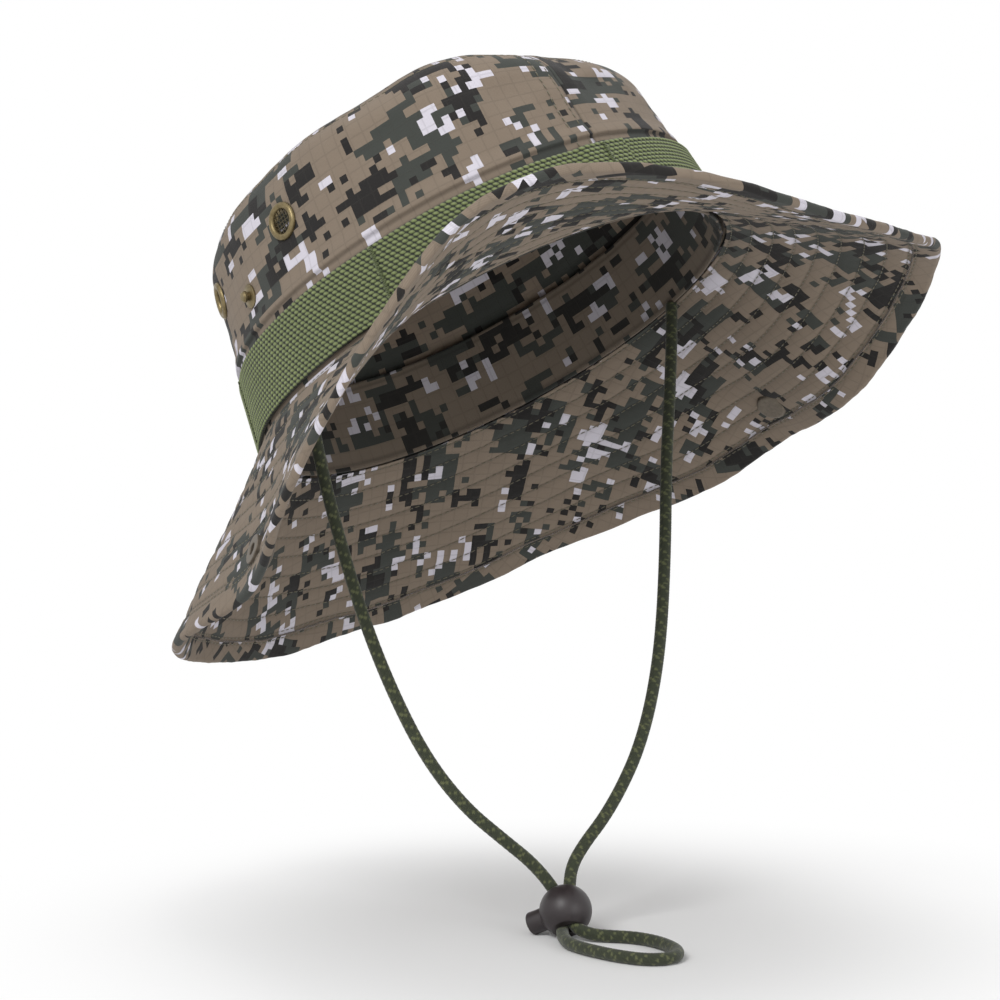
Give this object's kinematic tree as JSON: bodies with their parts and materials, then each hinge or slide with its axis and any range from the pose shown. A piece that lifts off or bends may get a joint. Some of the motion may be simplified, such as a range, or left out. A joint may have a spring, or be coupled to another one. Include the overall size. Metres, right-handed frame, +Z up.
{
  "type": "boonie hat",
  "caption": "Boonie hat in digital camouflage cloth with webbing foliage loops, screened vent eyelets, snap-up brim sides and a chin cord with a ball cord lock, as worn.",
  "frame": {"origin": "centre of the head opening, in the seam that joins crown and brim", "axes": "+Z up, +X the wearer's front, +Y the wearer's left, as worn: the crown's axis is tipped back 29.7 degrees and leans 10.2 degrees to the right"},
  "size_m": [0.271, 0.2594, 0.3045],
  "materials": {
    "camo_ripstop": "digital camouflage ripstop, matt",
    "cotton_tape": "dark olive cotton tape",
    "sweatband_cloth": "camouflage cloth, matt",
    "olive_webbing": "olive webbing, coarse weave",
    "olive_thread": "olive thread",
    "dull_snap_metal": "dull grey-bronze",
    "antique_brass": "antique, satin",
    "olive_cord": "braided cord, dark olive with light flecks",
    "lock_plastic": "dark brown-black, soft gloss",
    "spring_steel": "bright wire"
  },
  "bodies": {
    "hat": {"crown_side_right": "camo_ripstop", "crown_side_left": "camo_ripstop", "crown_tip": "camo_ripstop", "crown_seam_tape": "cotton_tape", "sweatband": "sweatband_cloth", "webbing_band": "olive_webbing", "webbing_bar_tacks": "olive_thread", "brim_upper_right": "camo_ripstop", "brim_lower_right": "camo_ripstop", "brim_upper_left": "camo_ripstop", "brim_lower_left": "camo_ripstop", "snap_studs": "antique_brass", "snap_stud_posts": "antique_brass", "vent_eyelets": "antique_brass", "vent_screens": "antique_brass", "vent_washers": "antique_brass", "chin_cord": "olive_cord"},
    "right_flap": {"brim_upper_flap_right": "camo_ripstop", "brim_lower_flap_right": "camo_ripstop", "snap_socket_right": "dull_snap_metal", "snap_cap_right": "dull_snap_metal"},
    "left_flap": {"brim_upper_flap_left": "camo_ripstop", "brim_lower_flap_left": "camo_ripstop", "snap_socket_left": "dull_snap_metal", "snap_cap_left": "dull_snap_metal"},
    "cord_lock": {"cord_lock_barrel": "lock_plastic", "cord_lock_spring": "spring_steel"},
    "plunger": {"cord_lock_plunger": "lock_plastic"}
  },
  "joints": [
    {"name": "right_brim_fold", "type": "hinge", "parent": "hat", "child": "right_flap", "pos_m": [0.00044, -0.08641, -0.02474], "axis": [-0.873, 0.0935, -0.4786], "range_deg": [0, 150.8]},
    {"name": "left_brim_fold", "type": "hinge", "parent": "hat", "child": "left_flap", "pos_m": [-0.01555, 0.08841, 0.0033], "axis": [0.8564, 0.0935, 0.5078], "range_deg": [0, 146.9]},
    {"name": "cord_lock_slide", "type": "slide", "parent": "hat", "child": "cord_lock", "axis": [-0.3556, 0.084, 0.9309], "range_m": [0, 0.06], "deforming": ["chin_cord"]},
    {"name": "plunger_press", "type": "slide", "parent": "cord_lock", "child": "plunger", "axis": [0.7413, 0.5317, 0.4095], "range_m": [0, 0.0018], "stiffness_N_per_m": 600, "deforming": ["cord_lock_spring"]}
  ]
}
